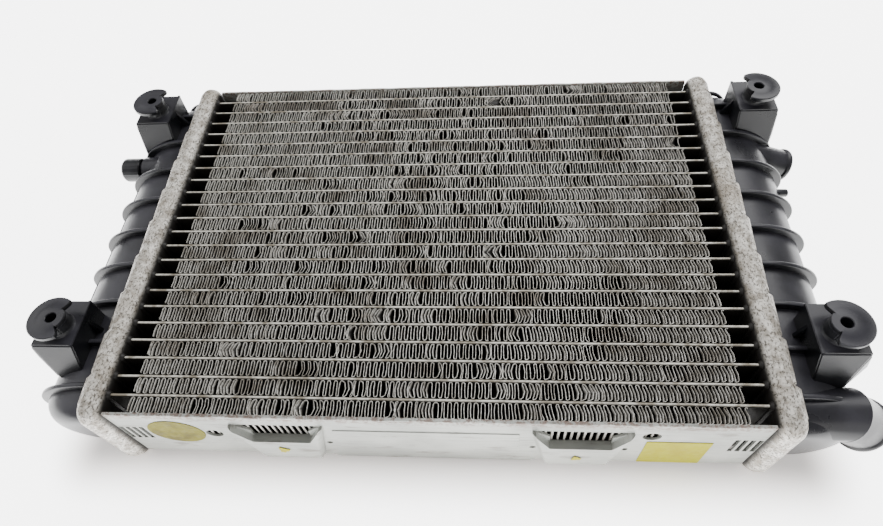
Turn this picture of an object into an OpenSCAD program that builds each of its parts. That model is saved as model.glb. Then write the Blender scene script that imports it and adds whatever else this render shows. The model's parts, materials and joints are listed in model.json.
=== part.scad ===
// Cross-flow car radiator, lying flat on the undersides of its two header plates, front face up.
// Aluminium core of flat tubes and corrugated fins between two crimped header plates,
// with a moulded plastic tank on each side. X runs across the core from tank to tank,
// Y runs across the tubes, Z is the depth of the core.

/* [Core] */
// Number of flat tubes
tube_count = 22; // [10:1:23]
// Distance from one tube to the next
tube_pitch = 10; // [8:0.5:13]
// Outside thickness of a tube
tube_t = 1.8; // [1.4:0.1:2.6]
// Wall of a tube
tube_wall = 0.35; // [0.25:0.05:0.5]
// Depth of the core, front to back
core_depth = 52; // [30:1:70]
// Width of the core between the header plates
core_w = 309; // [200:1:500]

/* [Fins] */
// Distance from one leg of a fin to the next
fin_leg_pitch = 1.53; // [1.4:0.01:3]
// Thickness of the fin strip
fin_t = 0.2; // [0.1:0.05:0.3]
// Length of bare tube between a fin and a header plate
fin_gap = 11; // [6:0.5:20]

/* [Header plates] */
// Thickness of the header plate
header_t = 2; // [1.5:0.1:3]
// Width of the crimped bead, across the joint with the tank
bead_w = 15; // [13:0.5:20]
// How far the bead stands proud of the core, front and back
bead_proud = 4.5; // [3:0.5:8]
// How far the bead stands past the side plates
bead_end = 4.5; // [4.5:0.1:8]
// Sheet thickness of the bead
bead_t = 1.6; // [1.2:0.1:2]
// Rounding of the bead's edges
bead_round = 4.5; // [3:0.5:4.5]
// Radius of the bead's path round the header's corners
header_corner = 9; // [9:0.5:14]
// Rounding inside the bead
fold_round = 1.2; // [0.8:0.1:2]
// How far the crimped edge folds over the tank's foot
crimp_lip = 3.4; // [2:0.1:4]
// Number of crimp tabs along each long side
tab_count = 9; // [4:1:14]
// Width of the gap between two tabs
tab_gap = 2.2; // [1:0.1:4]
// Thickness of the gasket under the tank's foot
gasket_t = 2; // [1.5:0.1:3]

/* [Tanks] */
// Reach of a tank's barrel beyond the bead
barrel_reach = 30.5; // [25:0.5:40]
// Setback of a tank's barrel from the bead, front and back
barrel_in = 12; // [11:0.5:15]
// Height of the ribs above the barrel
rib_h = 4; // [2:0.5:6]
// Thickness of a rib
rib_t = 2.6; // [2:0.1:4]
// Distance from one rib to the next
rib_pitch = 24.5; // [20:0.5:30]
// Wall of a tank
tank_wall = 2.6; // [2:0.1:3.5]
// Clearance round the tank's foot in the header plate
foot_clear = 0.3; // [0.1:0.05:0.5]
// Length of the rounded end of a tank
dome_len = 15.8; // [10:0.1:18]

/* [Brackets] */
// Distance of the screw posts out from the core
post_out = 35.5; // [34:0.5:37.5]
// Distance of the near posts in from the header's near end
near_post_in = 48.8; // [44:0.2:60]
// Distance of the far posts in from the header's far end
far_post_in = 28.8; // [26:0.2:44]
// Height of a bracket's top above the core's front face
bracket_z = 6; // [3:0.5:12]
// Length of a bracket along the tank
bracket_len = 27; // [27:0.5:34]
// Width of a bracket across the tank
bracket_w = 22.5; // [18:0.5:26]
// Height of a screw post above its bracket
post_h = 9; // [6:0.5:14]
// Radius of a screw post
post_r = 6.7; // [5:0.1:9]
// Radius of the disc on a screw post
disc_r = 12.2; // [10:0.1:13]
// Thickness of the disc
disc_t = 2.6; // [2:0.1:4]
// Angle cut out of the disc, towards the core
disc_cut = 110; // [60:5:150]
// Radius of the screw hole
screw_r = 2.75; // [2:0.05:3.5]
// Depth of the screw hole
screw_depth = 22; // [12:1:26]

/* [Hose necks] */
// Outside radius of the upper hose neck
upper_r = 9.4; // [8:0.1:11]
// Outside radius of the lower hose neck
lower_r = 12.2; // [10:0.1:13]
// Wall of both hose necks
neck_wall = 2.3; // [2:0.1:3]
// Length of the wider bore at each neck's mouth
mouth_len = 12.5; // [8:0.5:13]
// Step between that bore and the passage behind it
mouth_step = 0.5; // [0.2:0.1:1]
// Height of the bead at the tip of each neck
neck_bead = 1; // [0.5:0.1:1.5]
// Slope of the upper neck, down from level
upper_tilt = 20; // [10:1:30]
// Slope of the lower neck, down from level
lower_tilt = 45; // [30:1:50]
// Distance of the upper neck in from the header's far end
upper_in = 51.8; // [50:0.2:60]
// Distance of the lower neck in from the header's near end
lower_in = 18.8; // [18.8:0.2:26]

/* [Bleed cap] */
// Distance of the bleed spigot in from the header's far end
spigot_in = 56.8; // [50:0.2:64]
// Outside radius of the bleed spigot
spigot_r = 5.6; // [4.5:0.1:6]
// Radius of the passage through the spigot
spigot_bore_r = 2.5; // [1.5:0.1:3]
// Outside radius of the cap
cap_r = 7.8; // [7.5:0.1:9]
// Length of the cap
cap_len = 12.5; // [12:0.5:16]
// Thickness of the cap's closed end
cap_end_t = 2; // [1.5:0.1:3]
// Thickness of the sealing washer in the cap
washer_t = 1.5; // [1:0.1:2]
// Running clearance between the cap and the spigot
cap_clear = 0.05; // [0.03:0.01:0.1]

/* [Side plates] */
// Thickness of a side plate
plate_t = 1.2; // [0.8:0.1:2]
// How far the pressed hooks stand out of a side plate
hook_out = 3; // [2:0.1:3.5]
// Length of the deeper middle stretch of a side plate
plate_mid_len = 98; // [90:1:104]
// Extra depth of that middle stretch
plate_mid_drop = 3; // [1:0.5:4]
// Radius of the round hole in a side plate
plate_hole_r = 4.3; // [3:0.1:5]

/* [Hidden] */
$fn = 72;
eps = 0.01;
// Braze clearance between a tube and its slot in the header plate
braze_gap = 0.05;
// Tube ends stand this far out of the header plates
tube_stub = 1.5;
// Angle between the points of an elliptical section
arc_step = 7.5;
// Thickness of the sticker and of the label
film_t = 0.3;
// How far the baffle runs into the walls round it
baffle_root = 0.5;
// Gap between the crimped lip and the tank's shoulder
shoulder_gap = 0.6;
// Clearance beside the gasket
gasket_clear = 0.1;
// How far the bead's section reaches inwards from the header's outline
bead_in = 8.5;
// Cuts run this far past the faces that they open
over = 1;
// Joined shapes of one piece run this far into each other
seam = 0.5;
// Gap between two crimp tabs: how far it reaches behind the lip, its height, its shift along the
// header and its middle's distance from the header's front and back
notch_back = 1.4;
notch_h = 6.4;
notch_shift = 2;
notch_in = 3;
// Level stretch from the bead to where the barrel starts to round
barrel_lead = 1.5;
// Domed ends of a barrel: angle between sections, and the reach and height left at the tip
dome_step = 16;
dome_tip_x = 0.2;
dome_tip_z = 0.6;
// Largest rounding of the barrel's foot, outside and inside
foot_round = 12;
inner_round = 9;
// Reach of the extra rib at the far end, as a share of the barrel's
end_rib_share = 0.45;
// Bracket: its shift along the tank, step out of the core, foot, and how far the gusset runs past it
bracket_shift = 2;
bracket_step = 0.5;
bracket_foot = [3, 2];
gusset_run = 9;
gusset_t = 1;
// Flare at the root of a screw post
post_flare = 1.2;
// Peg for a cable clip, between two ribs: radius, length, depth in the wall, height, place in ribs
peg_r = 2.4;
peg_len = 8;
peg_root = 5;
peg_z = 6;
peg_rib = 5.5;
// Spine along the outside of the left tank: thickness, root in the wall, setback and first rib
spine_t = 2.6;
spine_root = 3;
spine_back = 0.2;
spine_rib = 2;
// Side plate: difference from the core's depth and run of the slope to its deeper stretch
plate_inset = 2;
plate_slope = 4;
// Pressed hooks: places, half width, flare of the window, and depths below the front edge
hook_x = [-72.5, 72.5];
hook_half_w = 14.5;
hook_flare = 8;
hook_lead = 1;
window_z = [9.5, 17, 24];
hook_low = 47;
cheek_t = 1.2;
// Row of slots at each end of a side plate: size, distance from the core's end and depth below the edge
end_slot = [12.5, 15];
end_slot_in = 6.5;
end_slot_z = 23.5;
end_slots = 4;
end_bar = 1.2;
// Small holes beside the hooks
fixture_x = 22;
fixture_z = 32;
fixture_r = 1.5;
// Places of the two round holes of a side plate
plate_holes = [[-107, -22.5], [104, -14]];
// Sticker and label on the near side plate
sticker_r = 14;
sticker_at = [-126, -21];
label_size = [30, 29];
label_x = 103;
label_up = 0.5;

core_h = tube_pitch * (tube_count + 1) - tube_t;
fin_h = tube_pitch - tube_t;
fin_len = core_w - 2 * fin_gap;
fin_legs = floor(fin_len / fin_leg_pitch);
fin_tip = tip(fin_leg_pitch, fin_h, fin_t);

x_head = core_w / 2;
half_y = core_h / 2 + plate_t + bead_end;
half_z = core_depth / 2 + bead_proud;
z_mid = half_z;
z_front = z_mid + core_depth / 2;
z_back = z_mid - core_depth / 2;

// Places along X measured from the core face of a header plate
foot_x0 = header_t + gasket_t;
lip_x = bead_w - bead_t;
// The tank's foot is open over the whole depth of the core, up to flare_x
flare_x = foot_x0 + 5;
mouth_hz = core_depth / 2 + foot_clear;
foot_in = half_z - mouth_hz;
foot_hz = half_z - bead_t - foot_clear;
foot_hy = half_y - bead_t - foot_clear;
mouth_hy = half_y - foot_in;
ellipse_x = bead_w + barrel_lead;
lip_drop = ellipse_x - lip_x + over - 0.1;
rib_reach = barrel_reach + rib_h;
barrel_half_h = half_z - barrel_in;
inner_half_z = barrel_half_h - tank_wall;
shoulder_hz = barrel_half_h + 1;
shoulder_r = min(foot_round, shoulder_hz - seam);
inner_r = min(inner_round, inner_half_z - seam);
inner_half_y = half_y - bead_t - crimp_lip - shoulder_gap - tank_wall;
dome_y = inner_half_y + tank_wall - dome_len;

// Ribs stand at an even pitch from the near dome, and one more closes the far end
rib_y0 = -dome_y;
tab_pitch = rib_pitch;
rib_count = floor(2 * dome_y / rib_pitch) + 1;
rib_last = inner_half_y + tank_wall - rib_t / 2;

post_span_x = core_w + 2 * post_out;
post_x = post_span_x / 2 - x_head;
post_span_y = 2 * half_y - near_post_in - far_post_in;
post_y = [near_post_in - half_y, near_post_in - half_y + post_span_y];
upper_y = half_y - upper_in;
lower_y = lower_in - half_y;
bracket_top = z_front + bracket_z;
post_top = bracket_top + post_h;
bracket_drop = [10, 18];
gusset_drop = [10, 6];
gusset_x = [ellipse_x + 3 + 0.62 * barrel_reach, ellipse_x + 0.96 * barrel_reach];

// Lower neck: a level stub, then a mitred run down; upper neck: one straight run
lower_elbow = [ellipse_x + barrel_reach - 6.5, lower_y, z_mid + 7.3];
lower_len = 17.5;
upper_start = [ellipse_x + barrel_reach - 14, upper_y, z_mid + 5.1];
upper_len = 27.3;
bead_len = 2.4;
lower_reach = lower_elbow[0] + lower_len * cos(lower_tilt) + (lower_r + neck_bead) * sin(lower_tilt);
upper_reach = upper_start[0] + upper_len * cos(upper_tilt) + (upper_r + neck_bead) * sin(upper_tilt);

spigot_y = half_y - spigot_in;
spigot_z = z_mid + 6;
cap_x1 = ellipse_x + rib_reach + 9.5;
cap_x0 = cap_x1 - cap_len;
spigot_x1 = cap_x1 - cap_end_t - washer_t;

// The origin is the middle of the underside of the whole radiator
x_hi = x_head + max(lower_reach, upper_reach);
x_lo = -x_head - cap_x1;
x_shift = -(x_hi + x_lo) / 2;

baffle_y = core_h / 2 + tube_t / 2 - (floor(tube_count / 2) + 0.5) * tube_pitch;

function two(n) = n < 10 ? str("0", n) : str(n);
TUBES = [for (k = [1:tube_count]) str("tube_", two(k))];
FINS = [for (k = [1:tube_count + 1]) str("fin_", two(k))];

function tube_y(k) = core_h / 2 + tube_t / 2 - k * tube_pitch;
function fin_y(k) = core_h / 2 - fin_h / 2 - (k - 1) * tube_pitch;

// Height of a fold's tip, where the two faces of a strip t thick meet
function tip(p, h, t) = let (q = t * t * h, w = p * p - t * t)
    (sqrt(q * q + w * t * t * (p * p + h * h)) - q) / w;

// Closed outline of a strip folded into n legs, each p along and h high
function zigzag(n, p, h, k) = concat(
    [for (i = [0:n]) [i * p, i % 2 == 0 ? k : h]],
    [for (i = [n:-1:0]) [i * p, i % 2 == 0 ? 0 : h - k]]);

// Section of a tank: level from x0, then half an ellipse of reach a and half height b
function tank_section(x0, a, b) = concat([[x0, -b]],
    [for (t = [-90:arc_step:90]) [ellipse_x + a * cos(t), b * sin(t)]], [[x0, b]]);

// Puts a shape drawn for the right-hand side on that side or, turned over, on the left
module side(right) {
    translate([x_shift, 0, 0])
        if (right) translate([x_head, 0, 0]) children();
        else mirror([1, 0, 0]) translate([x_head, 0, 0]) children();
}

// Rounded rectangle in the YZ plane, from x0 to x1, about the middle of the core
module slab(x0, x1, hy, hz, r) {
    translate([x0, 0, z_mid]) rotate([90, 0, 90]) linear_extrude(x1 - x0) {
        square([2 * (hy - r), 2 * hz], center = true);
        square([2 * hy, 2 * (hz - r)], center = true);
        for (sy = [-1, 1], sz = [-1, 1]) translate([sy * (hy - r), sz * (hz - r)]) circle(r);
    }
}

// Sweeps a profile, drawn as outward distance against X, once round the header's outline
module round_ring() {
    cy = half_y - header_corner;
    cz = half_z - header_corner;
    translate([0, 0, z_mid]) rotate([90, 0, 90]) {
        for (q = [0:3]) {
            sy = (q == 0 || q == 3) ? 1 : -1;
            sz = (q < 2) ? 1 : -1;
            translate([sy * cy, sz * cz, 0]) rotate([0, 0, 90 * q]) rotate_extrude(angle = 90) children();
        }
        for (s = [-1, 1]) {
            translate([0, s * cz, 0]) rotate([90, 0, s > 0 ? 90 : -90])
                translate([0, 0, -cy]) linear_extrude(2 * cy) children();
            translate([s * cy, 0, 0]) rotate([90, 0, s > 0 ? 0 : 180])
                translate([0, 0, -cz]) linear_extrude(2 * cz) children();
        }
    }
}

module rounded_edge(u0, u1, x0, x1, r) {
    translate([u0, x0]) square([u1 - u0 - r, x1 - x0]);
    translate([u0, x0 + r]) square([u1 - u0, x1 - x0 - 2 * r]);
    for (x = [x0 + r, x1 - r]) translate([u1 - r, x]) circle(r);
}

module bead_profile() {
    difference() {
        rounded_edge(header_corner - bead_in, header_corner, 0, bead_w, bead_round);
        rounded_edge(-over, header_corner - bead_t, header_t, lip_x, fold_round);
        translate([-over, lip_x - eps])
            square([header_corner + over - bead_t - crimp_lip, bead_t + 2 * eps]);
    }
}

module header_plate() {
    difference() {
        union() {
            round_ring() bead_profile();
            slab(0, header_t, half_y - bead_in + seam, half_z - bead_in + seam,
                header_corner - bead_in + seam);
        }
        for (k = [1:tube_count])
            translate([-eps, tube_y(k), z_mid]) rotate([90, 0, 90]) linear_extrude(header_t + 2 * eps)
                stadium(tube_t / 2 + braze_gap, core_depth / 2 + braze_gap);
        // Gaps between the crimp tabs, front and back
        for (i = [0:tab_count - 1], s = [-1, 1])
            translate([lip_x - notch_back,
                (i - (tab_count - 1) / 2) * tab_pitch - tab_gap / 2 + notch_shift,
                z_mid + s * (half_z - notch_in) - notch_h / 2])
                cube([bead_t + notch_back + over, tab_gap, notch_h]);
    }
}

// Flat oval, r round at each end, reaching hz from its middle
module stadium(r, hz) {
    square([2 * r, 2 * (hz - r)], center = true);
    for (s = [-1, 1]) translate([0, s * (hz - r)]) circle(r);
}

module tube(k) {
    color("gainsboro") translate([x_shift - x_head - header_t - tube_stub, tube_y(k), z_mid])
        rotate([90, 0, 90]) linear_extrude(core_w + 2 * (header_t + tube_stub)) difference() {
            stadium(tube_t / 2, core_depth / 2);
            for (s = [-1, 1]) translate([0, s * core_depth / 4])
                stadium(tube_t / 2 - tube_wall, core_depth / 4 - tube_wall);
        }
}

module fin(k) {
    color("darkgray") translate([x_shift - fin_legs * fin_leg_pitch / 2, fin_y(k) - fin_h / 2, z_back])
        linear_extrude(core_depth) polygon(zigzag(fin_legs, fin_leg_pitch, fin_h, fin_tip));
}

module gasket() {
    round_ring() translate([header_corner - foot_in, header_t])
        square([foot_in - bead_t - fold_round - gasket_clear, gasket_t]);
}

// Rounded end of a barrel, on the side s of the tank
module tank_dome(s, a, b, len) {
    hull() for (t = [0:dome_step:90 - dome_step / 2])
        translate([0, s * (dome_y + len * sin(t)), z_mid]) rotate([90, 0, 0])
            linear_extrude(2 * eps, center = true)
            polygon(tank_section(ellipse_x - lip_drop, a * (dome_tip_x + (1 - dome_tip_x) * cos(t)),
                b * (dome_tip_z + (1 - dome_tip_z) * cos(t))));
}

module barrel(x0, a, b, len) {
    translate([0, 0, z_mid]) rotate([90, 0, 0]) linear_extrude(2 * dome_y, center = true)
        polygon(tank_section(x0, a, b));
    for (s = [-1, 1]) tank_dome(s, a, b, len);
}

// Mounting bracket, near (i = 0) or far (i = 1), with its screw post and disc
module bracket(i) {
    y0 = post_y[i] + bracket_shift - bracket_len / 2;
    z0 = bracket_top - bracket_drop[i];
    x0 = post_x - bracket_w / 2 + bracket_step;
    hull() {
        translate([x0, y0, z0]) cube([bracket_w, bracket_len, bracket_drop[i]]);
        translate([x0, y0, z0 - bracket_foot[1]])
            cube([bracket_w + bracket_foot[0], bracket_len, bracket_foot[1]]);
        translate([x0, y0 - gusset_run, z0 - gusset_drop[i]])
            cube([gusset_x[i] - x0, bracket_len + gusset_run, gusset_t]);
    }
    translate([post_x, post_y[i], bracket_top - eps]) {
        cylinder(r = post_r, h = post_h + eps);
        cylinder(r1 = post_r + post_flare, r2 = post_r, h = post_flare);
    }
    translate([post_x, post_y[i], post_top - disc_t]) linear_extrude(disc_t) difference() {
        circle(disc_r);
        polygon([[0, 0], for (t = [-1:1]) 2 * disc_r * [-cos(t * disc_cut / 2), sin(t * disc_cut / 2)]]);
    }
}

// Straight pipe from start, sloping down by tilt; back runs it the other way from start as well
module pipe(start, tilt, r, len, back) {
    translate(start) rotate([0, 90 + tilt, 0]) translate([0, 0, -back]) cylinder(r = r, h = len + back);
}

// Half of all space, before (s = 0) or after (s = 1) the mitre plane of the lower neck
module mitre_side(s) {
    translate(lower_elbow) rotate([0, lower_tilt / 2, 0]) translate([(s - 1) * 100, -50, -50]) cube(100);
}

// Level pipe and sloping pipe of one radius, joined on their mitre plane
module mitre_pipe(r, len) {
    difference() {
        translate([ellipse_x, lower_y, lower_elbow[2]]) rotate([0, 90, 0])
            cylinder(r = r, h = lower_elbow[0] + r - ellipse_x);
        mitre_side(1);
    }
    difference() {
        pipe(lower_elbow, lower_tilt, r, len, r);
        mitre_side(0);
    }
}

module tip_bead(start, tilt, r, len) {
    translate(start) rotate([0, 90 + tilt, 0]) translate([0, 0, len - bead_len])
        cylinder(r = r + neck_bead, h = bead_len);
}

// Foot of a tank: fills the header plate's channel, and steps in under the folded lip
module foot() {
    r = header_corner - bead_t - foot_clear;
    slab(foot_x0, lip_x - fold_round, foot_hy, foot_hz, r);
    slab(lip_x - fold_round - eps, lip_x, foot_hy - fold_round, foot_hz - fold_round, r - fold_round);
}

module tank(right) {
    difference() {
        union() {
            foot();
            slab(lip_x - eps, bead_w + seam, inner_half_y + tank_wall, shoulder_hz, shoulder_r);
            barrel(lip_x - eps, barrel_reach, barrel_half_h, dome_len);
            for (i = [0:rib_count - 1]) rib(rib_y0 + i * rib_pitch, rib_reach, barrel_half_h + rib_h);
            rib(rib_last, barrel_reach * end_rib_share, barrel_half_h);
            for (i = [0, 1]) bracket(i);
            if (right) right_necks();
            else left_spigot();
        }
        slab(foot_x0 - eps, flare_x, mouth_hy, mouth_hz, header_corner - foot_in);
        slab(flare_x - eps, bead_w + seam, inner_half_y, inner_half_z, inner_r);
        barrel(lip_x, barrel_reach - tank_wall, inner_half_z, dome_len - tank_wall);
        for (i = [0, 1]) translate([post_x, post_y[i], post_top - screw_depth])
            cylinder(r = screw_r, h = screw_depth + over);
        if (right) right_passages();
        else translate([ellipse_x, spigot_y, spigot_z]) rotate([0, 90, 0])
            cylinder(r = spigot_bore_r, h = spigot_x1 - ellipse_x + over);
    }
    if (right) baffle();
}

module rib(y, a, b) {
    translate([0, y, z_mid]) rotate([90, 0, 0]) linear_extrude(rib_t, center = true)
        polygon(tank_section(bead_w + seam / 2, a, b));
}

module right_necks() {
    mitre_pipe(lower_r, lower_len);
    tip_bead(lower_elbow, lower_tilt, lower_r, lower_len);
    pipe(upper_start, upper_tilt, upper_r, upper_len, 0);
    tip_bead(upper_start, upper_tilt, upper_r, upper_len);
    // Small peg for a cable clip
    translate([ellipse_x + barrel_reach - peg_root, rib_y0 + peg_rib * rib_pitch, z_mid + peg_z])
        rotate([0, 90, 0]) cylinder(r = peg_r, h = peg_len);
}

module right_passages() {
    mitre_pipe(lower_r - neck_wall - mouth_step, lower_len - mouth_len + eps);
    pipe(lower_elbow, lower_tilt, lower_r - neck_wall, lower_len + over, mouth_len - lower_len);
    pipe(upper_start, upper_tilt, upper_r - neck_wall - mouth_step, upper_len - mouth_len + eps, 0);
    pipe(upper_start, upper_tilt, upper_r - neck_wall, upper_len + over, mouth_len - upper_len);
}

// Wall across the tank that sends the coolant through the far tubes and back through the near ones
module baffle() {
    x0 = header_t + foot_clear;
    translate([0, baffle_y, z_mid]) rotate([90, 0, 0]) linear_extrude(tank_wall, center = true) {
        polygon(tank_section(x0, barrel_reach - tank_wall + baffle_root, inner_half_z + baffle_root));
        translate([x0, -core_depth / 2]) square([flare_x + baffle_root - x0, core_depth]);
        translate([foot_x0, -mouth_hz - baffle_root])
            square([flare_x + baffle_root - foot_x0, 2 * (mouth_hz + baffle_root)]);
    }
}

module left_spigot() {
    translate([ellipse_x, spigot_y, spigot_z]) rotate([0, 90, 0])
        cylinder(r = spigot_r, h = spigot_x1 - ellipse_x);
    // Spine joining the ribs along the outside of the barrel
    translate([ellipse_x + barrel_reach - spine_root, rib_y0 + spine_rib * rib_pitch, z_mid - spine_t / 2])
        cube([spine_root + rib_h - spine_back, (rib_count - 1 - 2 * spine_rib) * rib_pitch, spine_t]);
}

module bleed_cap() {
    color("#202225") side(false) translate([cap_x0, spigot_y, spigot_z]) rotate([0, 90, 0]) difference() {
        cylinder(r = cap_r, h = cap_len);
        translate([0, 0, -over]) cylinder(r = spigot_r + cap_clear, h = cap_len - cap_end_t + over);
    }
}

module cap_washer() {
    color("dimgray") side(false) translate([spigot_x1, spigot_y, spigot_z]) rotate([0, 90, 0]) difference() {
        cylinder(r = spigot_r, h = washer_t);
        translate([0, 0, -over]) cylinder(r = spigot_bore_r, h = washer_t + 2 * over);
    }
}

// Outline of a side plate in X and Z, from its front edge down
module plate_outline() {
    h = core_depth - plate_inset;
    m = plate_mid_len / 2;
    polygon([[-x_head, 0], [x_head, 0], [x_head, -h], [m + plate_slope, -h], [m, -h - plate_mid_drop],
        [-m, -h - plate_mid_drop], [-m - plate_slope, -h], [-x_head, -h]]);
}

// Window with its lower edge pressed out into a hook
module hook_window() {
    w = hook_half_w;
    polygon([[-w - hook_flare, -window_z[0]], [w + hook_flare, -window_z[0]], [w, -window_z[1]],
        [w, -window_z[2]], [-w, -window_z[2]], [-w, -window_z[1]]]);
}

// Pressed-out face of a hook, a little wider at the top, with its lower end and two cheeks
module hook() {
    w = hook_half_w;
    top = window_z[2];
    translate([0, -hook_out, -top]) rotate([90, 0, 0]) linear_extrude(plate_t)
        polygon([[-w - hook_lead, 0], [w + hook_lead, 0], [w, top - hook_low], [-w, top - hook_low]]);
    for (s = [-1, 1])
        translate([s * (w + cheek_t / 2) - cheek_t / 2 - s * over / 10, -hook_out - plate_t, -hook_low])
            cube([cheek_t, hook_out + plate_t, hook_low - top]);
    translate([-w, -hook_out - plate_t, -hook_low - plate_t])
        cube([2 * w, hook_out + plate_t, plate_t + seam]);
}

// Row of slots at the end of a side plate, with bars left between them
module slot_row() {
    pitch = (end_slot[0] + end_bar) / end_slots;
    for (i = [0:end_slots - 1]) translate([(i - (end_slots - 1) / 2) * pitch, 0])
        square([pitch - end_bar, end_slot[1]], center = true);
}

module side_plate() {
    rotate([90, 0, 0]) linear_extrude(plate_t) difference() {
        plate_outline();
        for (x = hook_x) translate([x, 0]) hook_window();
        for (s = [-1, 1]) translate([s * (x_head - end_slot_in), -end_slot_z]) slot_row();
        for (x = hook_x, s = [-1, 1]) translate([x + s * fixture_x, -fixture_z]) circle(fixture_r);
        for (at = plate_holes) translate(at) circle(plate_hole_r);
    }
    for (x = hook_x) translate([x, 0, 0]) hook();
}

module near_side_plate() {
    color("lightgray") translate([x_shift, -core_h / 2, z_front]) side_plate();
}

module far_side_plate() {
    color("lightgray") translate([x_shift, core_h / 2, z_front]) mirror([0, 1, 0]) side_plate();
}

module round_sticker() {
    color("darkkhaki") translate([x_shift + sticker_at[0], -core_h / 2 - plate_t, z_front + sticker_at[1]])
        rotate([90, 0, 0]) cylinder(r = sticker_r, h = film_t);
}

module blank_label() {
    z0 = z_front - core_depth + plate_inset + label_up;
    color("gold") translate([x_shift + label_x, -core_h / 2 - plate_t - film_t, z0])
        cube([label_size[0], film_t, label_size[1]]);
}

color("silver") side(false) header_plate();  // left_header_plate
color("silver") side(true) header_plate();  // right_header_plate
color("black") side(false) gasket();  // left_gasket
color("black") side(true) gasket();  // right_gasket
color("#26282b") side(false) tank(false);  // left_tank
color("#26282b") side(true) tank(true);  // right_tank
near_side_plate();
far_side_plate();
round_sticker();
blank_label();
bleed_cap();
cap_washer();
for (k = [1:tube_count])
    tube(k);
for (k = [1:tube_count + 1])
    fin(k);
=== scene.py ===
import json
import math

import bmesh
import bpy
import numpy as np
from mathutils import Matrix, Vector


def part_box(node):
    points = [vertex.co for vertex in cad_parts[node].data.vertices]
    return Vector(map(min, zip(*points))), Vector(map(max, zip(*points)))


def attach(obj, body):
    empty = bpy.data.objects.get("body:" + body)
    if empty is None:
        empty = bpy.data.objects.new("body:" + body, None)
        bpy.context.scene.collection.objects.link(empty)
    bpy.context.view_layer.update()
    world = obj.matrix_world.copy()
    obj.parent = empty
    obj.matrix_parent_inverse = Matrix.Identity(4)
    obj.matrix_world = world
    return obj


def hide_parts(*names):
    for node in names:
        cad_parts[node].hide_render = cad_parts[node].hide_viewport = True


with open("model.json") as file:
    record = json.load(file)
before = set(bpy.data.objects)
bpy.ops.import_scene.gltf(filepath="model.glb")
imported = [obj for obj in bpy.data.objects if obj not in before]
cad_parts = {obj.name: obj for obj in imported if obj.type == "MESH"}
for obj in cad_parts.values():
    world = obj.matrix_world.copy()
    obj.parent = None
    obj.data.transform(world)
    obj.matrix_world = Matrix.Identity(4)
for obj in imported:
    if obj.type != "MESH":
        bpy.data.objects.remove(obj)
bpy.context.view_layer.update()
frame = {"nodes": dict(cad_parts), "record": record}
rng = np.random.default_rng(7)
mounts = {m["name"]: m for m in frame["record"]["mounts"]}
MM = 0.001


def box(node):
    lo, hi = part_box(node)
    return np.array(lo) / MM, np.array(hi) / MM


# ---------------------------------------------------------------- places, in mm, from the frame
header_lo, header_hi = box("right_header_plate")
left_hi = box("left_header_plate")[1]
FACE = {1: header_lo[0], -1: left_hi[0]}
BEAD_W = header_hi[0] - header_lo[0]
HALF_Y = header_hi[1]
Z_MID = (header_lo[2] + header_hi[2]) / 2
HALF_Z = (header_hi[2] - header_lo[2]) / 2
fin_lo, fin_hi = box("fin_12")
Z_FRONT, Z_BACK = fin_hi[2], fin_lo[2]
FIN_END = -box("fin_23")[0][1]
POSTS = mounts["screw_posts"]
post_mid = np.array(POSTS["pos_m"]) / MM
POST_X = POSTS["dims"]["spacing_x_mm"] / 2
POST_YS = [post_mid[1] + s * POSTS["dims"]["spacing_y_mm"] / 2 for s in (-1, 1)]
SCREW_R = POSTS["dims"]["hole_r_mm"]
POST_TOP = post_mid[2]
HALF_X = (FACE[1] - FACE[-1]) / 2
CORE_TOP = Vector(((FACE[1] + FACE[-1]) / 2, 0, Z_FRONT)) * MM
TUBES, RIBS = 22, 9
# Ribs over a tank: pitch, thickness, height and place of the first
RIB_PITCH, RIB_T, RIB_H, RIB_Y0 = 24.5, 2.6, 4.0, -98.4
# A tank's barrel: place of its centre, reach out from there, half height and length of its dome
ELL_X, REACH, HALF_B, DOME = BEAD_W + 1.5, 30.5, 18.5, 15.8
TANK_IN = 5.6  # from the header plate's outline in to the tank's
# Hose necks: length from the barrel or the bend to the mouth, and wall
UPPER_LEN, LOWER_LEN, NECK_WALL = 27.3, 17.5, 2.3
# Screw posts: height, radius, radius of the disc, and where its cut starts and ends in degrees
POST_H, POST_R, DISC_R, CUT_FROM, CUT_TO = 9, 6.75, 12.2, 50, 59


# ---------------------------------------------------------------- camera, floor and light
def aim(obj, forward, up):
    f = Vector(forward).normalized()
    r = f.cross(Vector(up)).normalized()
    u = r.cross(f)
    m = obj.matrix_world.copy()
    for i in range(3):
        m[i][0], m[i][1], m[i][2] = r[i], u[i], -f[i]
    obj.matrix_world = m


cam_data = bpy.data.cameras.new("camera")
cam_data.lens = 25.2
cam_data.sensor_width = 36
cam = bpy.data.objects.new("camera", cam_data)
bpy.context.scene.collection.objects.link(cam)
CAM_FORWARD = Vector((-0.086, 0.570, -0.817))
CAM_RIGHT = Vector((0.996, 0.048, -0.072))
CAM_FROM_CORE = Vector((0.0323, -0.2160, 0.2699))
aim(cam, CAM_FORWARD, CAM_RIGHT.cross(CAM_FORWARD))
cam.location = CORE_TOP + CAM_FROM_CORE
bpy.context.scene.camera = cam


LIGHT_AIM = Vector((0, 0, 0.03))
WORLD_STRENGTH = 0.4


def area(name, place, size, power, colour=(1, 1, 1)):
    data = bpy.data.lights.new(name, "AREA")
    data.shape = "RECTANGLE"
    data.size, data.size_y = size
    data.energy = power
    data.color = colour
    lamp = bpy.data.objects.new(name, data)
    bpy.context.scene.collection.objects.link(lamp)
    aim(lamp, LIGHT_AIM - Vector(place), (0, 1, 0.01))
    lamp.location = place


area("key", (0.25, 0.75, 1.15), (1.5, 0.9), 19)
area("left", (-1.1, 0.1, 0.8), (0.8, 1.2), 4)
area("front", (0.3, -1.1, 0.55), (1.4, 0.5), 3.5, (1, 0.98, 0.96))

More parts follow.
